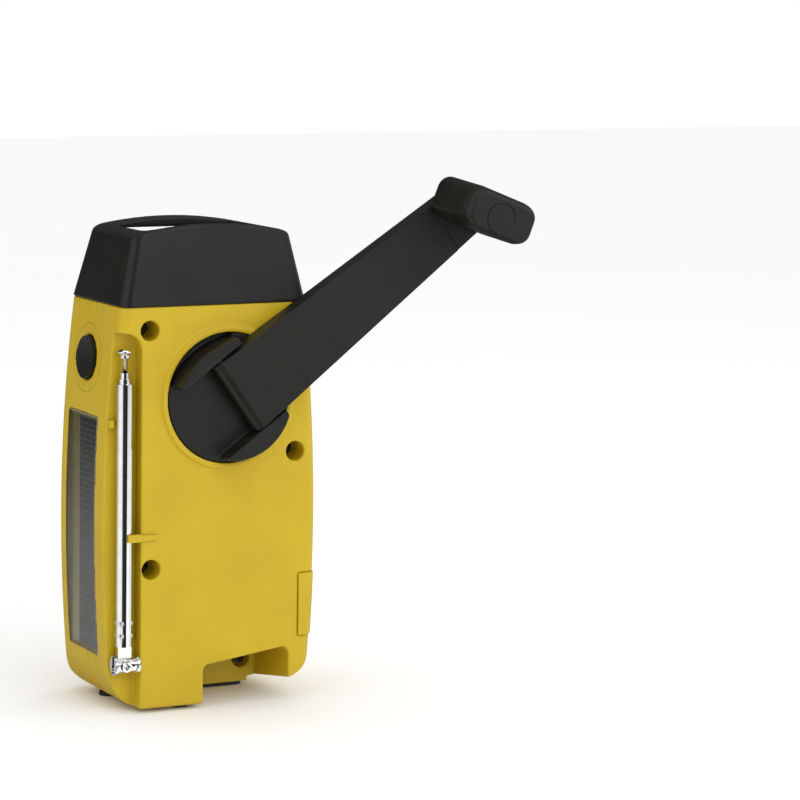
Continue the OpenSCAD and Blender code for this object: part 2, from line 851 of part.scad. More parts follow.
// Knob: an oblong that leans a little away from its foot, with rounded ends
module crank_knob() {
    end = knob_y + knob_len;
    steps = [[0, 1.5], [1.6, 0], [knob_len - 6, 0], [knob_len - 2.4, 0.7],
             [knob_len - 0.9, 1.4], [knob_len - 0.1, 2.2]];
    color(charcoal) lift() at_crank() translate([knob_reach, 0, 0]) difference() {
        hull() for (s = steps)
            slab_y(knob_y + s[0], knob_y + s[0] + 0.1)
                translate(knob_shift + knob_lean * (1 - s[0] / knob_len)) rotate(knob_tilt)
                    knob_section(knob_a - 2 * s[1], knob_b - 2 * s[1], knob_corner - s[1]);
        rod_y(0, 0, 0, 100, knob_axle_r + run);
        rod_y(0, 0, end - 5.4, 100, 4.8);
        rod_y(0, 0, end - cap_t, 100, cap_r + seat);
    }
}

module knob_cap() {
    end = knob_y + knob_len;
    color(charcoal) lift() at_crank() rod_y(knob_reach, 0, end - cap_t + seat, end, cap_r);
}

// ---------- antenna ----------

module antenna_bush() {
    color(brass) lift() difference() {
        rod_x(tube_y, pivot_z, groove_x - 3.2, groove_x, swivel_bush_r);
        rod_x(tube_y, pivot_z, 20, 40, swivel_r + run);
    }
}

// Swivel barrel with a slot for the tube's tang, and a shaft riveted over inside the case
module antenna_knuckle() {
    color(steel) lift() difference() {
        union() {
            rod_x(tube_y, pivot_z, groove_x + 1, tube_x + knuckle_end, knuckle_r);
            rod_x(tube_y, pivot_z, groove_x + 0.1, groove_x + 1.4, flange_r);
            rod_x(tube_y, pivot_z, tube_x + knuckle_end - 0.1, tube_x + knuckle_end + 1, flange_r);
            rod_x(tube_y, pivot_z, 28.4, groove_x + 1, swivel_r);
            rod_x(tube_y, pivot_z, 28.4, 29.5, swivel_bush_r - 0.2);
        }
        block([tube_x - tang_r - 0.3, tube_y - 1.25, pivot_z - tang_r - 0.3],
              [60, tube_y + 1.25, pivot_z + 10]);
        rod_y(tube_x, pivot_z, 0, 40, 1.2 + seat);
        rod_y(tube_x, pivot_z, pivot_seat_y, 40, 2.5);
    }
}

module antenna_pivot_screw() {
    color(steel) lift() translate([tube_x, pivot_seat_y, pivot_z])
        cross_screw(5.8, 1.2, 2.4, 1.1);
}

// Largest tube, with the tang that turns on the pivot screw
module antenna_tube() {
    color(steel) lift() difference() {
        union() {
            rod_z(tube_x, tube_y, tube_low, tube_top, tube_r);
            rod_y(tube_x, pivot_z, tube_y - 1.15, tube_y + 1.15, tang_r);
            block([tube_x - tang_r, tube_y - 1.15, pivot_z],
                  [tube_x + tang_r, tube_y + 1.15, tube_low + 0.5]);
        }
        rod_z(tube_x, tube_y, tube_low + 1.8, 200, second_r + run);
        rod_y(tube_x, pivot_z, 0, 40, 1.2 + run);
        for (z = crimp_rows, a = [crimp_angle:90:359])
            translate([tube_x + crimp_out * cos(a), tube_y + crimp_out * sin(a), tube_low + z])
                sphere(r = 1, $fn = 32);
    }
}

// One inner tube
module inner_tube(z0, z1, r, bore) {
    color(steel) lift() difference() {
        rod_z(tube_x, tube_y, z0, z1, r);
        rod_z(tube_x, tube_y, z0 + 1.5, 200, bore);
    }
}

module antenna_second() inner_tube(tube_low + 2, tube_top + 2.1, second_r, third_r + run);

module antenna_third() inner_tube(tube_low + 3.8, tube_top + 4.6, third_r, rod_r + run);

module antenna_tip() {
    color(steel) lift() {
        rod_z(tube_x, tube_y, tube_low + 5.6, tip_top - 1, rod_r);
        rod_z(tube_x, tube_y, tip_top - 4.2, tip_top - 1, collar_r);
        rod_z(tube_x, tube_y, tip_top - 2.4, tip_top, button_r);
    }
}

// Springy hook and tab that hold the stowed antenna
module antenna_clips() {
    color(yellow) lift() {
        block([groove_x - 7, rear_y + seat, hook_z - 1.1], [groove_x + 0.5, hook_y1, hook_z + 1.1]);
        block([groove_x + 0.4, hook_y0, hook_z - 1.6], [hook_end, hook_y1, hook_z + 1.6]);
        block([43.4, groove_y + seat, tab_z - 1.5], [45.2, groove_y + 3, tab_z + 1.5]);
    }
}

// ---------- side knob, solar panel, ports, battery ----------

// Dished knob with a pointer rib, and the shaft beneath it
module side_knob() {
    difference() {
        union() {
            translate([0, 0, -2.5]) cylinder(h = knob_top + 2.5, r = knob_r, $fn = 64);
            translate([-2.3, -knob_r - 0.2, 0.3]) cube([4.6, 5, knob_top]);
        }
        translate([0, 0, knob_top + 39.2]) sphere(r = 40.4, $fn = 96);
    }
    translate([0, 0, -11]) cylinder(h = 9, r = 2.9, $fn = 64);
}

module volume_knob() color(charcoal) lift() at_knob(1) side_knob();

module tuning_knob() color(charcoal) lift() at_knob(-1) side_knob();

module volume_pot() {
    color("dimgray") lift() at_knob(1) difference() {
        translate([0, 0, -11.5]) cylinder(h = 6.3, r = 8, $fn = 64);
        translate([0, 0, -11.2]) cylinder(h = 8, r = 2.9 + run, $fn = 64);
    }
}

module tuning_capacitor() {
    color("ivory") lift() at_knob(-1) difference() {
        translate([-8, -6, -12.5]) cube([16, 12, 7.3]);
        translate([0, 0, -11.2]) cylinder(h = 8, r = 2.9 + run, $fn = 64);
    }
}

// Clear tray-shaped cover that carries on the barrel curve
module solar_window() {
    g = 0.1;
    rim = 1.3;
    color(clear) lift() difference() {
        intersection() {
            case_body(0);
            block([solar_floor + seat, solar_y0 + g, solar_z0 + g], [60, solar_y1 - g, solar_z1 - g]);
        }
        intersection() {
            case_body(1.5);
            block([0, solar_y0 + rim, solar_z0 + rim], [60, solar_y1 - rim, solar_z1 - rim]);
        }
    }
}

module solar_cell() {
    color("darkslategray") lift()
        block([solar_floor + seat, -21.9, 22.3], [43.2, 6.6, 118.9]);
}

// Rubber cover with a hinge barrel at its lower edge
module port_cover() {
    z = port_z0 + 1;
    g = 0.15;
    y0 = port_y - port_half_w + g;
    y1 = port_y + port_half_w - g;
    color("dimgray") lift() difference() {
        union() {
            intersection() {
                difference() {
                    case_body(0);
                    case_body(1.9);
                }
                block([-60, y0, z], [-30, y1, port_z1 - g]);
            }
            rod_y(-case_half_w, z, y0 + 1, y1 - 1, 1);
        }
        rod_y(-case_half_w, z, -20, 20, 0.5 + run);
    }
}

module port_cover_pin() {
    color(steel) lift() rod_y(-case_half_w, port_z0 + 1, port_y - port_half_w - 1.4,
                              port_y + port_half_w + 1.4, 0.5);
}

module usb_a_socket() {
    color(steel) lift() difference() {
        block([-port_floor, port_y - 2.85, usb_z - 6.55], [-28, port_y + 2.85, usb_z + 6.55]);
        difference() {
            block([-50, port_y - 2.5, usb_z - 6.2], [-29, port_y + 2.5, usb_z + 6.2]);
            block([-40.5, port_y + 0.3, usb_z - 5.4], [-28, port_y + 2.1, usb_z + 5.4]);
        }
    }
}

module micro_usb_socket() {
    color(steel) lift() difference() {
        block([-port_floor, micro_y - 1.5, micro_z - 3.75], [-36, micro_y + 1.5, micro_z + 3.75]);
        difference() {
            block([-50, micro_y - 1.2, micro_z - 3.4], [-37, micro_y + 1.2, micro_z + 3.4]);
            block([-40.8, micro_y - 0.3, micro_z - 2.2], [-36, micro_y + 0.4, micro_z + 2.2]);
        }
    }
}

// Circuit board with its chips, capacitors and switches
module main_board() {
    color(board_green) lift() difference() {
        union() {
            block([-37.5, board_y0, 27.5], [36, board_y1, 132]);
            block([-22, board_y1 - 0.1, 44], [-8, board_y1 + 1.8, 58]);
            block([6, board_y1 - 0.1, 34], [16, board_y1 + 1.4, 44]);
            for (x = [2, 12]) rod_y(x, 66, board_y1 - 0.1, board_y1 + 9, 4);
            block([push_x - 3, board_y0 - switch_t, push_z - 3],
                  [push_x + 3, board_y0 + 0.1, push_z + 3]);
        }
        for (p = screw_spots) rod_y(p[0], p[1], -20, 0, front_boss_r + 1.4);
    }
}

module battery_cell() {
    color("steelblue") lift() {
        rod_x(cell_y, cell_z, -41, 9, cell_r);
        rod_x(cell_y, cell_z, 8.9, 10.2, 2.6);
    }
}

// Spring plates at both ends of the cell
module battery_contacts() {
    color(steel) lift() {
        block([10.3, cell_y - 6, cell_z - 6], [10.9, cell_y + 6, cell_z + 6]);
        block([-41.8, cell_y - 3, cell_z - 6], [-41.1, cell_y + 6, cell_z + 6]);
    }
}

module battery_door() {
    g = 0.1;
    color(yellow) lift() difference() {
        intersection() {
            case_body(-hatch_proud);
            block([-60, hatch_y + g, hatch_z0 + g], [hatch_x - g, 40, hatch_z1 - g]);
        }
        case_body(wall);
    }
}

// ---------- front face ----------

module speaker_grille() {
    color(charcoal) lift() difference() {
        rod_y(0, speaker_z, front_y - 0.6, front_y + 1 - seat, grille_r);
        for (ring = [0:3], i = [0:max(6 * ring - 1, 0)]) {
            a = 60 * i / max(ring, 1);
            d = 5.6 * ring;
            rod_y(d * cos(a), speaker_z + d * sin(a), -60, 0, 1.5);
        }
    }
}

// Basket and magnet
module speaker_frame() {
    color(steel) lift() translate([0, front_y + wall + 0.05, speaker_z]) rotate([-90, 0, 0])
        rotate_extrude($fn = 96)
            polygon([[24, 0], [28, 0], [28, 1.2], [24.5, 1.2], [15, 9], [15, 15], [0, 15],
                     [0, 8.2], [14, 8.2], [23, 1.2]]);
}

module speaker_cone() {
    color("black") lift() translate([0, front_y + wall + 0.3, speaker_z]) rotate([-90, 0, 0])
        rotate_extrude($fn = 96)
            polygon([[0, 3.5], [5, 4.6], [21.5, 0], [22.3, 0.3], [10, 7.2], [0, 7.2]]);
}

module dial_window() {
    g = 0.1;
    color(clear) lift() block([-window_hw + g, front_y - 0.2, window_z0 + g],
                              [window_hw - g, front_y + 1.6, window_z1 - g]);
}

// Scale plate with long and short tick marks, and brackets behind it for the needle's rail
module dial_scale() {
    color("white") lift() difference() {
        union() {
            block([-23.3, front_y + 5.2, window_z0 + 0.5], [23.3, front_y + 5.9, 155.5]);
            for (x = [-23.3, 21.7])
                block([x, front_y + 5.8, rail_z - 2.2], [x + 1.6, rail_y + 1.8, rail_z + 2.2]);
        }
        for (i = [-9:9]) {
            h = i % 3 == 0 ? 3.6 : 2;
            block([2 * i - 0.15, -60, 149], [2 * i + 0.15, front_y + 5.4, 149 + h]);
        }
    }
    color(steel) lift() rod_x(rail_y, rail_z, -22, 22, rail_r);
}

// Needle that hooks over the scale plate to a carriage on the rail
module dial_pointer() {
    color("red") lift() difference() {
        union() {
            block([-0.5, front_y + 3.6, window_z0 + 1.5], [0.5, front_y + 4.2, 157]);
            block([-0.5, front_y + 4.1, 156], [0.5, rail_y + 1.4, 157]);
            block([-1.6, rail_y - 1.3, rail_z - 1.6], [1.6, rail_y + 1.4, 157]);
        }
        rod_x(rail_y, rail_z, -30, 30, rail_r + run);
    }
}

module band_switch() {
    color(charcoal) lift() {
        block([switch_x - 2.8, front_y - 1.2, switch_z - 2.3], [switch_x + 2.8, front_y + 3, switch_z + 2.3]);
        block([switch_x - 2.8, front_y + 2.9, switch_z - 4], [switch_x + 2.8, front_y + 4.2, switch_z + 4]);
    }
}

// Push button with a flange behind the wall and a stem to the board's switch
module torch_button() {
    color(charcoal) lift() {
        rod_y(push_x, push_z, front_y - 1.4, front_y + wall + 0.2, push_r);
        rod_y(push_x, push_z, front_y + wall + 0.1, front_y + wall + 1.1, push_r + 1.2);
        rod_y(push_x, push_z, front_y + wall + 1, board_y0 - switch_t - 1.05, 1.8);
    }
}

module torch_lens() {
    color(clear) lift() difference() {
        intersection() {
            cap_block();
            torch_opening(0);
        }
        translate([0, 1.8, 0]) cap_block();
    }
}

// Bright block with three bowls, behind the lens
module torch_reflector() {
    color(steel) lift() difference() {
        block([-torch_hw + 0.5, torch_back_y - 7, torch_z - torch_hh + 0.5],
              [torch_hw - 0.5, torch_back_y, torch_z + torch_hh - 0.5]);
        for (x = lamp_spots) translate([x, torch_back_y - 7.1, torch_z]) rotate([-90, 0, 0]) {
            cylinder(h = 6, r1 = 4.7, r2 = 2.2, $fn = 64);
            cylinder(h = 10, r = 1.6 + seat, $fn = 64);
        }
    }
}

module torch_lamps() {
    color("white") lift() for (x = lamp_spots) {
        rod_y(x, torch_z, torch_back_y - 3.5, torch_back_y, 1.6);
        translate([x, torch_back_y - 3.5, torch_z]) sphere(r = 1.6, $fn = 48);
    }
}

module ferrite_rod() {
    color("dimgray") lift() rod_x(ferrite_y, ferrite_z, -35.5, 19.5, ferrite_r);
}

rear_shell();
front_shell();
top_cap();
case_screws();
foot_pad();
crank_hub();
crank_shaft();
crank_bush();
shaft_clip();
drive_gear();
idler_gear();
idler_axle();
rotor_shaft();
rotor_magnet();
stator_coils();
dynamo_can();
gearbox_front_plate();
gearbox_rear_plate();
gearbox_screws();
crank_arm();
arm_cover();
arm_hinge_pin();
knob_axle();
crank_knob();
knob_cap();
antenna_bush();
antenna_knuckle();
antenna_pivot_screw();
antenna_tube();
antenna_second();
antenna_third();
antenna_tip();
antenna_clips();
volume_knob();
volume_pot();
tuning_knob();
tuning_capacitor();
solar_window();
solar_cell();
port_cover();
port_cover_pin();
usb_a_socket();
micro_usb_socket();
main_board();
battery_cell();
battery_contacts();
battery_door();
speaker_grille();
speaker_frame();
speaker_cone();
dial_window();
dial_scale();
dial_pointer();
band_switch();
torch_button();
torch_lens();
torch_reflector();
torch_lamps();
ferrite_rod();
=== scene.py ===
"""Looks of the hand-crank emergency radio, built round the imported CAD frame."""
import json
import math

import bmesh
import bpy
from mathutils import Matrix, Vector


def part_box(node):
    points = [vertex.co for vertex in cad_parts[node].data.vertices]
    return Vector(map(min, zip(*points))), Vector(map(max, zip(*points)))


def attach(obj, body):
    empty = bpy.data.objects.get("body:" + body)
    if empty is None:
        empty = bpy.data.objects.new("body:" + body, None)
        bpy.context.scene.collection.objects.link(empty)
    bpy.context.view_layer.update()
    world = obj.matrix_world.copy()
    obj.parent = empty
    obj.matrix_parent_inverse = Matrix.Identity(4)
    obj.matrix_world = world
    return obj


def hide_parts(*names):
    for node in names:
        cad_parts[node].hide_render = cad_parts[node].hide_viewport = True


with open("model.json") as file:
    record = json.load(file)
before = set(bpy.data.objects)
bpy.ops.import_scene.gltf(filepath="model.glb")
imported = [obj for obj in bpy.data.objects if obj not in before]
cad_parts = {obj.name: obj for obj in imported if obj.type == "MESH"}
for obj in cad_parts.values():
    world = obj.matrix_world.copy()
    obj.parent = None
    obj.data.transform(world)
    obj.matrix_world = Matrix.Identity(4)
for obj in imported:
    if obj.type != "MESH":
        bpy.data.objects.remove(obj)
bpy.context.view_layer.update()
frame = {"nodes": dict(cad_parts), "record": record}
MM = 0.001

# ---------- colours (linear) ----------

YELLOW = (0.560, 0.395, 0.012)
YELLOW_DARK = (0.515, 0.355, 0.010)
BLACK = (0.0100, 0.0102, 0.0078)
BLACK_LIGHT = (0.0140, 0.0142, 0.0112)
BLACK_OXIDE = (0.016, 0.015, 0.013)
RUBBER = (0.012, 0.012, 0.012)
CHROME = (0.90, 0.90, 0.90)
STEEL = (0.50, 0.50, 0.51)
BRASS = (0.62, 0.44, 0.16)
COPPER = (0.58, 0.24, 0.10)

# ---------- surface details, in mm unless said ----------

FINGER_MM = 2.3
BORDER_MM = 7.0
# Engraved ring round the volume knob, a shallow bump whose groove also gets painted shade
RING_R = 14.25
RING_WIDTH = 0.55
# The engraved ring fades in between these X values, in metres, so it stays off the -X side
RING_SIDE = (0.030, 0.031)
# Heights of the crimp rows above the bottom of the tube's tang, and the first crimp's direction
CRIMP_ROWS = (15.6, 20.8)
CRIMPS_ROUND = 4
CRIMP_START = 50
CRIMP_R, CRIMP_WIRE, CRIMP_SINK = 0.92, 0.24, 0.12
LIP_WIRE, LIP_SINK = 0.22, 0.2
ROD_R = 1.25
# The antenna's button: radius, and distance below its top
TIP = ((1.25, 4.45), (1.8, 4.4), (2.12, 4.15), (2.2, 3.8), (2.15, 3.4), (2.05, 3.2), (2.15, 3.05),
       (3.35, 1.95), (3.48, 1.8), (3.48, 1.6), (3.35, 1.45), (1.85, 0.2), (1.6, 0.06), (1.2, 0.01),
       (0, 0))
# Bevel width of each machined or small moulded node
EASED = (("case_screws", 0.15), ("arm_cover", 0.35), ("knob_cap", 0.3), ("antenna_knuckle", 0.4),
         ("antenna_pivot_screw", 0.2), ("antenna_tube", 0.2), ("antenna_clips", 0.4),
         ("battery_door", 0.4), ("speaker_grille", 0.25), ("band_switch", 0.35),
         ("torch_button", 0.4), ("port_cover", 0.4), ("foot_pad", 0.3), ("usb_a_socket", 0.1),
         ("micro_usb_socket", 0.1), ("dial_window", 0.2), ("solar_window", 0.25),
         ("arm_hinge_pin", 0.2))
# Voxel size and smoothing rounds of each large moulded node, and the share of its faces kept
SOFTENED = (("rear_shell", 0.45, 5), ("front_shell", 0.6, 5), ("top_cap", 0.45, 8),
            ("crank_hub", 0.3, 6), ("crank_arm", 0.3, 5), ("crank_knob", 0.3, 12),
            ("volume_knob", 0.2, 4), ("tuning_knob", 0.2, 4))
FACES_KEPT = 0.3
# How far each moving piece is drawn in, to clear the softened edges round it
SHRUNK = (("band_switch", 0.3), ("volume_knob", 0.2), ("tuning_knob", 0.2))


# ---------- node helpers ----------

class Shader:
    """A material's node tree, with a short way to add and link nodes."""

    def __init__(self, name):
        self.material = bpy.data.materials.new(name)
        self.material.use_nodes = True
        self.tree = self.material.node_tree
        self.bsdf = self.tree.nodes["Principled BSDF"]
        self.coords = self.add("ShaderNodeTexCoord").outputs["Object"]

    def add(self, kind, inputs=None, **settings):
        node = self.tree.nodes.new(kind)
        for key, value in settings.items():
            setattr(node, key, value)
        for key, value in (inputs or {}).items():
            self.put(node.inputs[key], value)
        return node

    def put(self, socket, value):
        if isinstance(value, bpy.types.NodeSocket):
            self.tree.links.new(value, socket)
        else:
            socket.default_value = value

    def set(self, **inputs):
        for key, value in inputs.items():
            self.put(self.bsdf.inputs[key.replace("_", " ")], value)

    def noise(self, size_mm, detail=3.0, rough=0.55, stretch=(1, 1, 1)):
        """Noise whose features are about size_mm across."""
        mapping = self.add("ShaderNodeMapping", {"Vector": self.coords, "Scale": stretch})
        node = self.add("ShaderNodeTexNoise", {
            "Vector": mapping.outputs[0], "Scale": 1 / (size_mm * MM),
            "Detail": detail, "Roughness": rough})
        return node.outputs["Fac"]

    def ramp(self, fac, low, high, a=0.0, b=1.0):
        """Maps fac from low..high to a..b."""
        node = self.add("ShaderNodeMapRange", {
            "Value": fac, "From Min": low, "From Max": high, "To Min": a, "To Max": b})
        return node.outputs[0]

    def mix(self, fac, a, b):
        node = self.add("ShaderNodeMix", data_type="RGBA")
        self.put(node.inputs[0], fac)
        self.put(node.inputs[6], a if isinstance(a, bpy.types.NodeSocket) else (*a, 1))
        self.put(node.inputs[7], b if isinstance(b, bpy.types.NodeSocket) else (*b, 1))
        return node.outputs[2]

    def math(self, op, a, b=0.0):
        node = self.add("ShaderNodeMath", operation=op)
        self.put(node.inputs[0], a)
        self.put(node.inputs[1], b)
        return node.outputs[0]

    def bump(self, height, depth_mm, below=None):
        node = self.add("ShaderNodeBump", {
            "Height": height, "Distance": depth_mm * MM, "Strength": 1.0})
        if below is not None:
            self.put(node.inputs["Normal"], below)
        return node.outputs[0]

    def edges(self, radius_mm=0.6):
        """Bright where the surface turns sharply: rubbed edges with painted edge highlights on
        plastic, pale cut edges on clear parts.
        """
        bevel = self.add("ShaderNodeBevel", {"Radius": radius_mm * MM}, samples=4)
        geometry = self.add("ShaderNodeNewGeometry")
        dot = self.add("ShaderNodeVectorMath", operation="DOT_PRODUCT")
        self.put(dot.inputs[0], bevel.outputs[0])
        self.put(dot.inputs[1], geometry.outputs["Normal"])
        return self.ramp(dot.outputs["Value"], 0.98, 0.80)


def middle(node):
    """Centre of a CAD node's box."""
    low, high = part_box(node)
    return (Vector(low) + Vector(high)) / 2


def engraved(s, centre):
    """1 on a thin ring of the +X wall round centre, seen along X, and 0 elsewhere."""
    split = s.add("ShaderNodeSeparateXYZ", {"Vector": s.coords})
    across = s.math("SUBTRACT", split.outputs["Y"], centre.y)
    up = s.math("SUBTRACT", split.outputs["Z"], centre.z)
    away = s.math("SQRT", s.math("ADD", s.math("POWER", across, 2), s.math("POWER", up, 2)))
    off = s.math("ABSOLUTE", s.math("SUBTRACT", away, RING_R * MM))
    line = s.ramp(off, 0.25 * RING_WIDTH * MM, 0.5 * RING_WIDTH * MM, 1.0, 0.0)
    return s.math("MULTIPLY", line, s.ramp(split.outputs["X"], *RING_SIDE))


def plastic(name, base, alt, rough=(0.34, 0.44), grain_mm=0.35, grain_depth=0.012, edge_wear_glint_colour=None,
            shine=0.32, ring=None):
    """Moulded plastic: cloudy colour, fine grain, uneven gloss, and lighter sharp edges that are
    part rubbed wear and part painted highlight. The edge argument gives the colour of these edges,
    and ring names a node that has an engraved ring round it, with painted shade in its groove."""
    s = Shader(name)
    cloud = s.ramp(s.noise(28, 4), 0.35, 0.65)
    colour = s.mix(cloud, base, alt)
    if ring:
        line = engraved(s, middle(ring))
        # painted shade in the engraved ring's groove: the colour is darkened along the ring
        colour = s.mix(s.math("MULTIPLY", line, 0.35), colour, tuple(c * 0.45 for c in base))
    if edge_wear_glint_colour:
        # painted highlight as well as rubbed wear: sharp edges are lightened towards the edge
        # colour
        rubbed_glint_mask = s.math("MULTIPLY", s.edges(), s.ramp(s.noise(1.5, 4), 0.45, 0.7, 0.0, 0.55))
        colour = s.mix(rubbed_glint_mask, colour, edge_wear_glint_colour)
    smudge = s.ramp(s.noise(9, 5, 0.6), 0.3, 0.7, *rough)
    grain = s.bump(s.noise(grain_mm, 2), grain_depth)
    normal = s.bump(s.noise(14, 2), 0.02, grain)
    if ring:
        normal = s.bump(s.math("SUBTRACT", 1.0, line), 0.15, normal)
    s.set(Base_Color=colour, Roughness=smudge, Normal=normal)
    s.bsdf.inputs["Specular IOR Level"].default_value = shine
    return s.material


def metal(name, base, rough=(0.12, 0.25), brush=(1, 1, 1), depth=0.004, grain_mm=0.5):
    """Metal with drawn lines, patchy gloss and a slight tint change."""
    s = Shader(name)
    lines = s.noise(grain_mm, 4, 0.6, brush)
    dull = tuple(c * 0.88 for c in base)
    colour = s.mix(s.ramp(s.noise(6, 4), 0.35, 0.7), base, dull)
    gloss = s.ramp(s.noise(4, 5), 0.3, 0.7, *rough)
    s.set(Base_Color=colour, Roughness=gloss, Metallic=1.0, Normal=s.bump(lines, depth))
    return s.material


def clear(name, tint=(0.95, 0.96, 0.94)):
    """Clear moulded plastic with faint haze, fine scratches and pale cut edges."""
    s = Shader(name)
    haze = s.ramp(s.noise(5, 5), 0.35, 0.75, 0.0, 0.04)
    scratch = s.noise(0.4, 3, 0.6, (1, 0.08, 1))
    rim = s.edges(0.8)
    body = s.mix(s.ramp(s.noise(20, 3), 0.3, 0.7), tint, tuple(c * 0.98 for c in tint))
    colour = s.mix(rim, body, (0.80, 0.80, 0.72))
    s.set(Base_Color=colour, Roughness=haze, Normal=s.bump(scratch, 0.0005),
          Transmission_Weight=s.ramp(rim, 0.0, 1.0, 1.0, 0.35))
    s.bsdf.inputs["IOR"].default_value = 1.25
    return s.material


def solar(name):
    """Dark silicon with fine pale fingers along Y and a bare border in front. Cell and border are
    painted dark at the top and paler low down: painted shade and light for how light falls on them.
    """
    s = Shader(name)
    split = s.add("ShaderNodeSeparateXYZ", {"Vector": s.coords})
    fingers = s.math("PINGPONG", s.math("MULTIPLY", split.outputs["Z"], 1 / (FINGER_MM * MM)), 0.5)
    finger = s.ramp(fingers, 0.03, 0.10, 1.0, 0.0)
    low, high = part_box("solar_cell")
    # painted light and shade: a ramp from the panel's top (0) to its bottom (1), darkening cell and
    # border above and lightening them below
    painted_light_fade = s.ramp(split.outputs["Z"], high[2], low[2], 0.0, 1.0)
    deep = s.mix(s.ramp(s.noise(7, 5), 0.35, 0.65), (0.003, 0.003, 0.003), (0.006, 0.006, 0.006))
    grey = s.mix(s.ramp(s.noise(7, 5), 0.35, 0.65), (0.060, 0.061, 0.056), (0.095, 0.095, 0.088))
    silicon = s.mix(painted_light_fade, deep, grey)
    cell = s.mix(s.math("MULTIPLY", finger, 0.7), silicon, (0.15, 0.15, 0.14))
    # the border, painted dark olive at the top as shade and pale low down as light
    tray_with_painted_light = s.mix(painted_light_fade, (0.20, 0.155, 0.03), (0.42, 0.38, 0.22))
    edge = low[1] + BORDER_MM * MM
    colour = s.mix(s.ramp(split.outputs["Y"], edge, edge + 0.1 * MM), tray_with_painted_light, cell)
    s.set(Base_Color=colour, Roughness=s.ramp(s.noise(3, 4), 0.3, 0.7, 0.18, 0.3),
          Normal=s.bump(finger, 0.01))
    s.bsdf.inputs["Specular IOR Level"].default_value = 0.1
    return s.material


MATERIALS = {
    # The edge colours below are partly rubbed wear and partly painted highlight on sharp edges
    "yellow_case": plastic("yellow_case", YELLOW, YELLOW_DARK, edge_wear_glint_colour=(0.66, 0.49, 0.06),
                           ring="volume_knob"),
    "black_plastic": plastic("black_plastic", BLACK, BLACK_LIGHT, (0.34, 0.46), 0.3, 0.012,
                             edge_wear_glint_colour=(0.060, 0.060, 0.057)),
    "rubber": plastic("rubber", RUBBER, BLACK, (0.6, 0.75), 0.6, 0.03),
    "dark_steel": plastic("dark_steel", BLACK_OXIDE, (0.026, 0.023, 0.020), (0.28, 0.45), 0.2,
                          0.008, edge_wear_glint_colour=(0.10, 0.10, 0.10)),
    "steel": metal("steel", STEEL, (0.22, 0.38), (1, 1, 0.1)),
    "chrome": metal("chrome", CHROME, (0.02, 0.05), (1, 1, 0.03), 0.0001, 0.8),
    "brass": metal("brass", BRASS, (0.2, 0.35)),
    "copper": metal("copper", COPPER, (0.25, 0.4), (1, 8, 1)),
    "gear_plastic": plastic("gear_plastic", (0.72, 0.68, 0.55), (0.66, 0.62, 0.50)),
    "magnet": plastic("magnet", (0.05, 0.05, 0.055), (0.08, 0.08, 0.085), (0.5, 0.7)),
    "clear": clear("clear"),
    "solar": solar("solar"),
    "board": plastic("board", (0.012, 0.10, 0.035), (0.02, 0.14, 0.05), (0.25, 0.4)),
    "cell": plastic("cell", (0.03, 0.09, 0.22), (0.04, 0.11, 0.26), (0.2, 0.3)),
    "paper": plastic("paper", (0.02, 0.02, 0.02), (0.035, 0.035, 0.035), (0.8, 0.9), 0.8, 0.05),
    "dial": plastic("dial", (0.75, 0.75, 0.70), (0.70, 0.70, 0.66)),
    "needle": plastic("needle", (0.6, 0.02, 0.01), (0.5, 0.015, 0.01)),
    "lamp": clear("lamp", (0.98, 0.97, 0.90)),
    "mirror": metal("mirror", (0.85, 0.85, 0.85), (0.03, 0.08)),
}


def dress_nodes():
    """Gives every CAD node the material of its slot."""
    slots = {part["node"]: part["material_slot"] for part in frame["record"]["subparts"]}
    for name, node in frame["nodes"].items():
        node.data.materials.clear()
        node.data.materials.append(MATERIALS[slots[name]])


def soften(name, voxel_mm, rounds):
    """Rounds a CAD node's moulded edges: fine voxels, a light smooth, then fewer faces."""
    node = frame["nodes"][name]
    remesh = node.modifiers.new("round", "REMESH")
    remesh.mode = "VOXEL"
    remesh.voxel_size = voxel_mm * MM
    remesh.use_smooth_shade = True
    smooth = node.modifiers.new("smooth", "SMOOTH")
    smooth.factor = 0.5
    smooth.iterations = rounds
    node.modifiers.new("less", "DECIMATE").ratio = FACES_KEPT


def ease(name, width_mm):
    """Breaks a machined or small moulded node's edges with a narrow bevel."""
    node = frame["nodes"][name]
    for polygon in node.data.polygons:
        polygon.use_smooth = True
    weld = node.modifiers.new("weld", "WELD")
    weld.merge_threshold = 0.002 * MM
    bevel = node.modifiers.new("ease", "BEVEL")
    bevel.width = width_mm * MM
    bevel.segments = 2
    bevel.limit_method = "ANGLE"
    bevel.angle_limit = math.radians(38)
    normals = node.modifiers.new("flat", "WEIGHTED_NORMAL")
    normals.keep_sharp = True


def shrink(name, by_mm):
    """Pulls a node's skin in a little, so that it clears the softened edges round it."""
    skin = frame["nodes"][name].modifiers.new("shrink", "DISPLACE")
    skin.mid_level = 0
    skin.strength = -by_mm * MM


def lathe(name, x, y, profile, turns=64):
    """Solid of revolution about the upright line through x, y, from radii and heights in metres."""
    mesh = bmesh.new()
    rings = []
    for radius, height in profile:
        if radius < 1e-7:
            rings.append([mesh.verts.new((x, y, height))])
            continue
        rings.append([mesh.verts.new((x + radius * math.cos(a), y + radius * math.sin(a), height))
                      for a in (2 * math.pi * i / turns for i in range(turns))])
    for below, above in zip(rings, rings[1:]):
        for i in range(turns):
            j = (i + 1) % turns
            corners = [below[i % len(below)], below[j % len(below)],
                       above[j % len(above)], above[i % len(above)]]
            mesh.faces.new(list(dict.fromkeys(corners)))
    return finished(name, mesh)


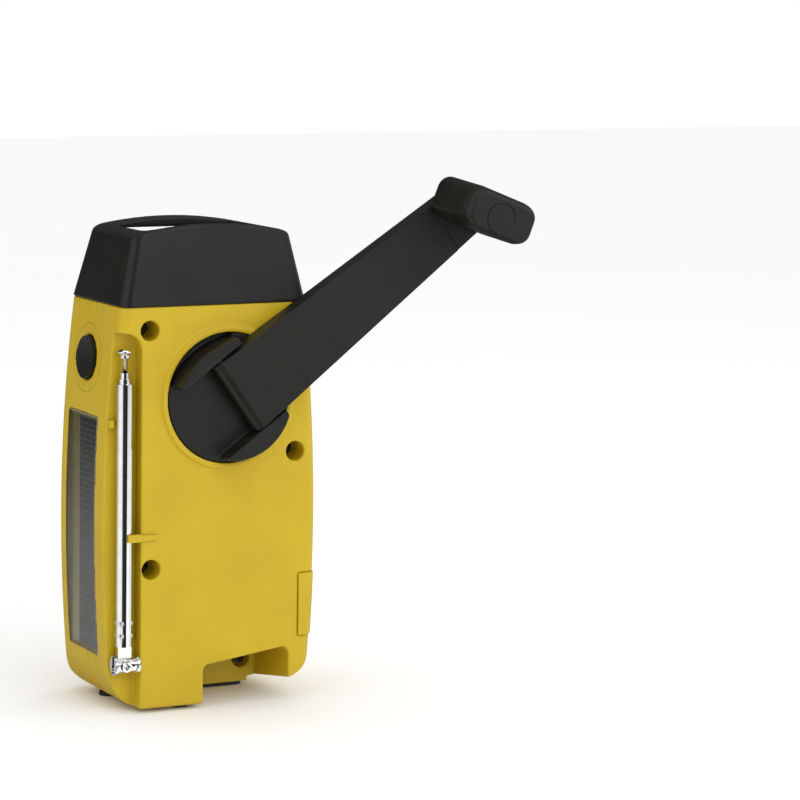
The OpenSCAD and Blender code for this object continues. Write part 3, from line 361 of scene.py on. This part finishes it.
def finished(name, mesh):
    """Turns a bmesh into a smooth-shaded object in the scene."""
    bmesh.ops.recalc_face_normals(mesh, faces=mesh.faces)
    for face in mesh.faces:
        face.smooth = True
    data = bpy.data.meshes.new(name)
    mesh.to_mesh(data)
    mesh.free()
    piece = bpy.data.objects.new(name, data)
    bpy.context.scene.collection.objects.link(piece)
    return piece


def fit(piece, body, slot):
    """Gives a new piece its material, its body and its slot."""
    piece.data.materials.append(MATERIALS[slot])
    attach(piece, body)
    return piece


def torus(mesh, centre, axis, major, minor, turns=20, sides=8):
    """Adds a ring to a bmesh."""
    frame_z = Vector(axis).normalized()
    frame_x = frame_z.orthogonal().normalized()
    frame_y = frame_z.cross(frame_x)
    loops = []
    for i in range(turns):
        a = 2 * math.pi * i / turns
        out = frame_x * math.cos(a) + frame_y * math.sin(a)
        loops.append([mesh.verts.new(Vector(centre) + out * (major + minor * math.cos(b))
                                     + frame_z * minor * math.sin(b))
                      for b in (2 * math.pi * k / sides for k in range(sides))])
    for i in range(turns):
        here, there = loops[i], loops[(i + 1) % turns]
        for k in range(sides):
            m = (k + 1) % sides
            mesh.faces.new((here[k], there[k], there[m], here[m]))


def antenna_lips(axis):
    """Rolled lips at the top of the three tubes."""
    tubes = (("antenna_tube", "antenna_1"), ("antenna_second", "antenna_2"),
             ("antenna_third", "antenna_3"))
    for node, body in tubes:
        low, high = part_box(node)
        spot = (axis.x, axis.y, high[2] - LIP_SINK * MM)
        radius = (high[0] - low[0]) / 2 - LIP_SINK * MM
        mesh = bmesh.new()
        torus(mesh, spot, (0, 0, 1), radius, LIP_WIRE * MM, 48)
        fit(finished(node + "_lip", mesh), body, "chrome")


def antenna_crimps(axis):
    """Rings round the two rows of dimples at the tube's lower end."""
    low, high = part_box("antenna_tube")
    radius = (high[0] - low[0]) / 2
    mesh = bmesh.new()
    for row in CRIMP_ROWS:
        for turn in range(CRIMPS_ROUND):
            a = math.radians(CRIMP_START + 360 / CRIMPS_ROUND * turn)
            out = Vector((math.cos(a), math.sin(a), 0))
            foot = Vector((axis.x, axis.y, low[2] + row * MM))
            torus(mesh, foot + out * (radius - CRIMP_SINK * MM), out, CRIMP_R * MM, CRIMP_WIRE * MM)
    fit(finished("antenna_crimps", mesh), "antenna_1", "chrome")


def antenna_button(axis):
    """The innermost rod with its collar and flared button."""
    low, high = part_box("antenna_tip")
    shape = [(0, low[2]), (ROD_R * MM, low[2])]
    shape += [(r * MM, high[2] - h * MM) for r, h in TIP]
    button = fit(lathe("antenna_rod_and_button", axis.x, axis.y, shape), "antenna_4", "chrome")
    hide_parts("antenna_tip")


dress_nodes()
for part, width in EASED:
    ease(part, width)
antenna_axis = middle("antenna_second")
antenna_lips(antenna_axis)
antenna_crimps(antenna_axis)
antenna_button(antenna_axis)
for part, voxel, rounds in SOFTENED:
    soften(part, voxel, rounds)
for part, by in SHRUNK:
    shrink(part, by)


# ---------- stage ----------

ROOM_LIGHT = 1.0
FLOOR_SIZE = 8
# Each lamp's name, place, size and power
LIGHTS = (("key", (-0.25, 1.25, 0.75), 0.9, 4.2), ("fill", (-1.1, 0.9, 0.7), 1.2, 1.2),
          ("top", (0.0, 0.1, 1.4), 1.0, 1.5))
# What shiny things see round the room. Direction is a share of a turn from -Y by way of -X; then
# the brightness above the horizon, and lower down
CARDS = ((0.0, 0.10, 0.12), (0.17, 0.12, 0.12), (0.21, 0.9, 0.8), (0.34, 0.9, 1.0),
         (0.40, 0.24, 1.2), (0.455, 0.24, 1.2), (0.470, 0.02, 0.02), (0.61, 0.04, 0.03),
         (0.638, 0.3, 0.3), (0.65, 1.1, 1.1), (0.668, 1.1, 1.1), (0.676, 0.55, 0.45),
         (0.684, 1.1, 1.1), (0.80, 0.8, 1.0), (0.87, 0.04, 0.5), (0.945, 0.03, 0.5),
         (0.965, 0.08, 0.12), (1.0, 0.10, 0.12))
# Downward slope of a ray where the upper brightness ends, and where the lower one begins
HORIZON = (-0.07, -0.19)


def card_ramp(tree, share, level):
    """Brightness along one height of the room."""
    shades = tree.nodes.new("ShaderNodeValToRGB")
    tree.links.new(share, shades.inputs[0])
    for card in CARDS[1:-1]:
        stop = shades.color_ramp.elements.new(card[0])
        stop.color = (*[card[level]] * 3, 1)
    for edge in (0, -1):
        shades.color_ramp.elements[edge].color = (*[CARDS[edge][level]] * 3, 1)
    return shades.outputs[0]


def cards(tree, direction):
    """Brightness that shiny things see in a direction, and whether the ray is one of theirs."""
    new, link = tree.nodes.new, tree.links.new
    ray = new("ShaderNodeSeparateXYZ")
    link(direction, ray.inputs[0])
    turn = new("ShaderNodeMath")
    turn.operation = "ARCTAN2"
    link(ray.outputs["X"], turn.inputs[0])
    link(ray.outputs["Y"], turn.inputs[1])
    share = new("ShaderNodeMapRange")
    share.inputs["From Min"].default_value = -math.pi
    share.inputs["From Max"].default_value = math.pi
    link(turn.outputs[0], share.inputs["Value"])
    drop = new("ShaderNodeMapRange")
    drop.inputs["From Min"].default_value, drop.inputs["From Max"].default_value = HORIZON
    link(ray.outputs["Z"], drop.inputs["Value"])
    blend = new("ShaderNodeMix")
    blend.data_type = "RGBA"
    link(drop.outputs[0], blend.inputs[0])
    link(card_ramp(tree, share.outputs[0], 1), blend.inputs[6])
    link(card_ramp(tree, share.outputs[0], 2), blend.inputs[7])
    return blend.outputs[2], new("ShaderNodeLightPath").outputs["Is Glossy Ray"]


def room():
    """White room; shiny things see the cards instead."""
    world = bpy.data.worlds.new("room")
    bpy.context.scene.world = world
    world.use_nodes = True
    tree = world.node_tree
    shades, glossy = cards(tree, tree.nodes.new("ShaderNodeTexCoord").outputs["Generated"])
    pick = tree.nodes.new("ShaderNodeMix")
    pick.data_type = "RGBA"
    tree.links.new(glossy, pick.inputs[0])
    pick.inputs[6].default_value = (1, 1, 1, 1)
    tree.links.new(shades, pick.inputs[7])
    background = tree.nodes["Background"]
    tree.links.new(pick.outputs[2], background.inputs[0])
    background.inputs[1].default_value = ROOM_LIGHT


def floor_material():
    """Pale floor; in reflections it carries the cards on down from the room."""
    s = Shader("floor")
    tone = s.mix(s.noise(300, 2), (0.93, 0.93, 0.93), (0.95, 0.95, 0.95))
    s.set(Base_Color=tone, Roughness=0.8)
    s.bsdf.inputs["Specular IOR Level"].default_value = 0.0
    away = s.add("ShaderNodeVectorMath", operation="SCALE")
    s.put(away.inputs[0], s.add("ShaderNodeNewGeometry").outputs["Incoming"])
    away.inputs["Scale"].default_value = -1.0
    shades, glossy = cards(s.tree, away.outputs[0])
    glow = s.add("ShaderNodeEmission", {"Color": shades})
    pick = s.add("ShaderNodeMixShader", {0: glossy})
    s.put(pick.inputs[1], s.bsdf.outputs[0])
    s.put(pick.inputs[2], glow.outputs[0])
    s.put(s.tree.nodes["Material Output"].inputs[0], pick.outputs[0])
    return s.material


def studio():
    """Pale floor, pale room and soft lights."""
    bpy.ops.mesh.primitive_plane_add(size=FLOOR_SIZE, location=(0, 0, 0))
    floor = bpy.context.object
    floor.name = "floor"
    floor.data.materials.append(floor_material())
    room()
    for name, place, size, watts in LIGHTS:
        light = bpy.data.lights.new(name, "AREA")
        light.shape = "DISK"
        light.size = size
        light.energy = watts
        lamp = bpy.data.objects.new(name, light)
        lamp.location = place
        aim = Vector((0, 0, 0.1)) - Vector(place)
        lamp.rotation_euler = aim.to_track_quat("-Z", "Y").to_euler()
        bpy.context.scene.collection.objects.link(lamp)


def camera():
    """The photo's view: from behind, to the solar side, a little above the middle."""
    place = Vector((0.5424, 1.2161, 0.3086))
    azimuth, elevation, roll = math.radians(155.16), math.radians(6.85), math.radians(0.52)
    back = Vector((math.sin(azimuth) * math.cos(elevation),
                   -math.cos(azimuth) * math.cos(elevation), math.sin(elevation)))
    right = Vector((math.cos(azimuth), math.sin(azimuth), 0))
    up = back.cross(right)
    right, up = (right * math.cos(roll) + up * math.sin(roll),
                 up * math.cos(roll) - right * math.sin(roll))
    turn = Matrix((right, up, back)).transposed().to_4x4()
    data = bpy.data.cameras.new("camera")
    data.lens, data.sensor_width = 144.5, 36
    data.shift_x, data.shift_y = 0.2049, -0.067
    eye = bpy.data.objects.new("camera", data)
    eye.matrix_world = Matrix.Translation(place) @ turn
    bpy.context.scene.collection.objects.link(eye)
    bpy.context.scene.camera = eye


studio()
camera()
bpy.context.scene.view_settings.view_transform = "Standard"
